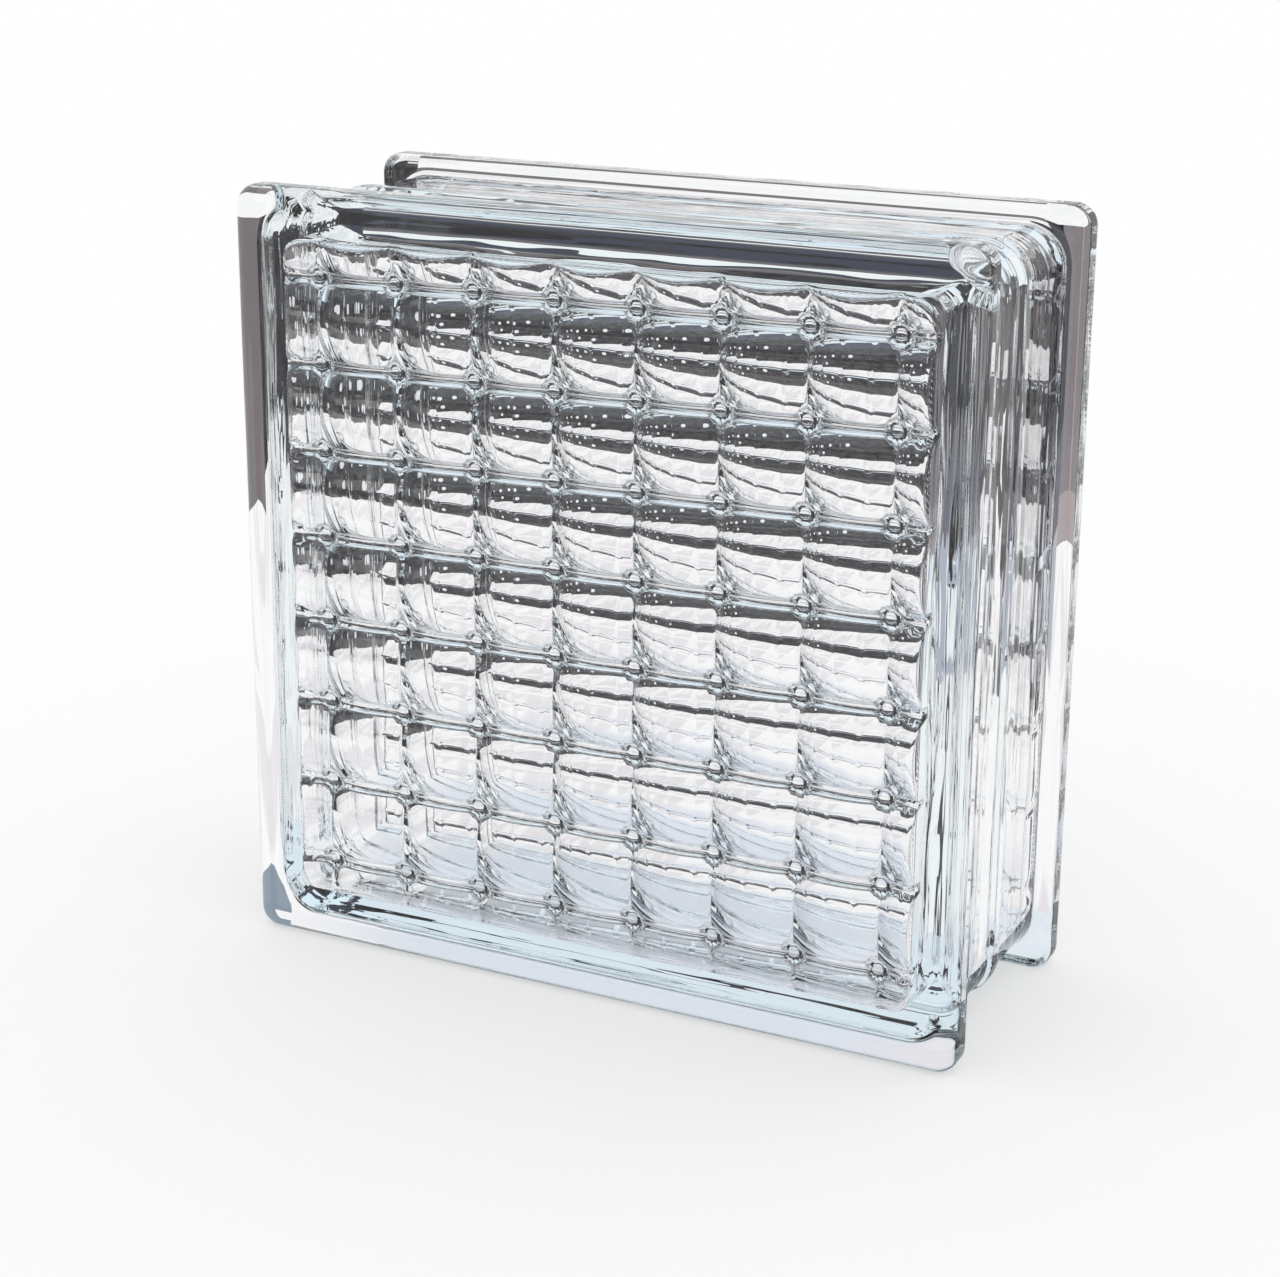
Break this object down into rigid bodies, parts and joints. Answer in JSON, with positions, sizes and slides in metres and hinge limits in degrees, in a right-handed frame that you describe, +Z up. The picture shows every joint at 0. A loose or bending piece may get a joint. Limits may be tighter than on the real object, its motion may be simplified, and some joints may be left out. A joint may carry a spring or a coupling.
{
  "type": "glass block",
  "caption": "Hollow square glass building block with a mortar channel round its edges and a lattice of dished cells inside each face.",
  "frame": {"origin": "middle of the bottom, in the mid plane, level with the lower edges of the two flanges", "axes": "+X along the face, +Y through the thickness away from the front face, +Z up"},
  "size_m": [0.197, 0.0794, 0.197],
  "materials": {
    "glass": "clear pressed glass, smooth and glossy, with a faint cool tint"
  },
  "bodies": {
    "root": {"front_half_shell": "glass", "rear_half_shell": "glass"}
  },
  "joints": []
}
